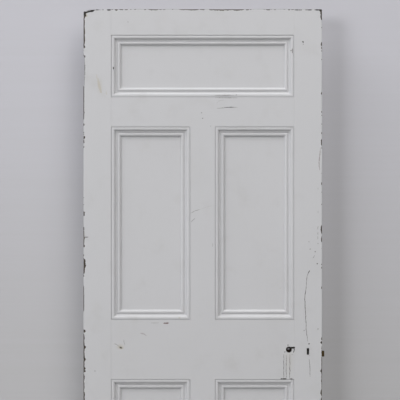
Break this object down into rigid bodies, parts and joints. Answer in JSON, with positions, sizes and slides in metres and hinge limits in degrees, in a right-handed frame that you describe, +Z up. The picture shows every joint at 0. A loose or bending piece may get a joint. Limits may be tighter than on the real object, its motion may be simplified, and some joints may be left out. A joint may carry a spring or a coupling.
{
  "type": "panelled front door leaf",
  "caption": "Old painted timber front door leaf with sunk panels, planted mouldings on both faces and a horizontal mortice lock, off its hinges and without its frame.",
  "frame": {"origin": "middle of the leaf's bottom edge, in the middle of its thickness", "axes": "+X towards the closing edge, +Y from the seen face towards the face behind, +Z up"},
  "size_m": [0.9245, 0.045, 2.134],
  "materials": {
    "painted_wood": "old off-white paint over softwood, chipped at the arrises",
    "bare_wood": "bare softwood end grain, dirty",
    "lock_iron": "black japanned iron, worn",
    "lock_brass": "dull tarnished brass with old paint on it",
    "screw_steel": "dark old steel"
  },
  "bodies": {
    "leaf": {"hanging_stile": "painted_wood", "closing_stile": "painted_wood", "top_rail": "painted_wood", "frieze_rail": "painted_wood", "lock_rail": "painted_wood", "bottom_rail": "painted_wood", "middle_muntin": "painted_wood", "lower_muntin": "painted_wood", "top_panel": "painted_wood", "middle_left_panel": "painted_wood", "middle_right_panel": "painted_wood", "lower_left_panel": "painted_wood", "lower_right_panel": "painted_wood", "seen_top_panel_moulding_head": "painted_wood", "seen_top_panel_moulding_sill": "painted_wood", "seen_top_panel_moulding_left": "painted_wood", "seen_top_panel_moulding_right": "painted_wood", "rear_top_panel_moulding_head": "painted_wood", "rear_top_panel_moulding_sill": "painted_wood", "rear_top_panel_moulding_sides": "painted_wood", "seen_middle_left_panel_moulding_head": "painted_wood", "seen_middle_left_panel_moulding_sill": "painted_wood", "seen_middle_left_panel_moulding_left": "painted_wood", "seen_middle_left_panel_moulding_right": "painted_wood", "rear_middle_left_panel_moulding_head": "painted_wood", "rear_middle_left_panel_moulding_sill": "painted_wood", "rear_middle_left_panel_moulding_sides": "painted_wood", "seen_middle_right_panel_moulding_head": "painted_wood", "seen_middle_right_panel_moulding_sill": "painted_wood", "seen_middle_right_panel_moulding_left": "painted_wood", "seen_middle_right_panel_moulding_right": "painted_wood", "rear_middle_right_panel_moulding_head": "painted_wood", "rear_middle_right_panel_moulding_sill": "painted_wood", "rear_middle_right_panel_moulding_sides": "painted_wood", "seen_lower_left_panel_moulding_head": "painted_wood", "seen_lower_left_panel_moulding_sill": "painted_wood", "seen_lower_left_panel_moulding_left": "painted_wood", "seen_lower_left_panel_moulding_right": "painted_wood", "rear_lower_left_panel_moulding_head": "painted_wood", "rear_lower_left_panel_moulding_sill": "painted_wood", "rear_lower_left_panel_moulding_sides": "painted_wood", "seen_lower_right_panel_moulding_head": "painted_wood", "seen_lower_right_panel_moulding_sill": "painted_wood", "seen_lower_right_panel_moulding_left": "painted_wood", "seen_lower_right_panel_moulding_right": "painted_wood", "rear_lower_right_panel_moulding_head": "painted_wood", "rear_lower_right_panel_moulding_sill": "painted_wood", "rear_lower_right_panel_moulding_sides": "painted_wood", "tenon_wedges": "bare_wood", "lock_case": "lock_iron", "lock_cap": "lock_iron", "lock_cap_screws": "lock_iron", "lock_forend": "lock_brass", "lock_forend_screws": "screw_steel"},
    "latch": {"latch_bolt": "lock_brass"},
    "follower": {"lock_follower": "lock_iron"},
    "dead": {"dead_bolt": "lock_brass"}
  },
  "joints": [
    {"name": "latch_draw", "type": "slide", "parent": "leaf", "child": "latch", "axis": [-1, 0, 0], "range_m": [0, 0.0105], "stiffness_N_per_m": 400, "springref_m": -0.012},
    {"name": "follower_turn", "type": "hinge", "parent": "leaf", "child": "follower", "pos_m": [0.33, 0, 0.83], "axis": [0, 1, 0], "range_deg": [0, 33.5]},
    {"name": "dead_bolt_throw", "type": "slide", "parent": "leaf", "child": "dead", "axis": [1, 0, 0], "range_m": [0, 0.014]}
  ],
  "couplings": [
    {"joint": "follower_turn", "follows": "latch_draw", "rad_per_m": 55.629}
  ]
}
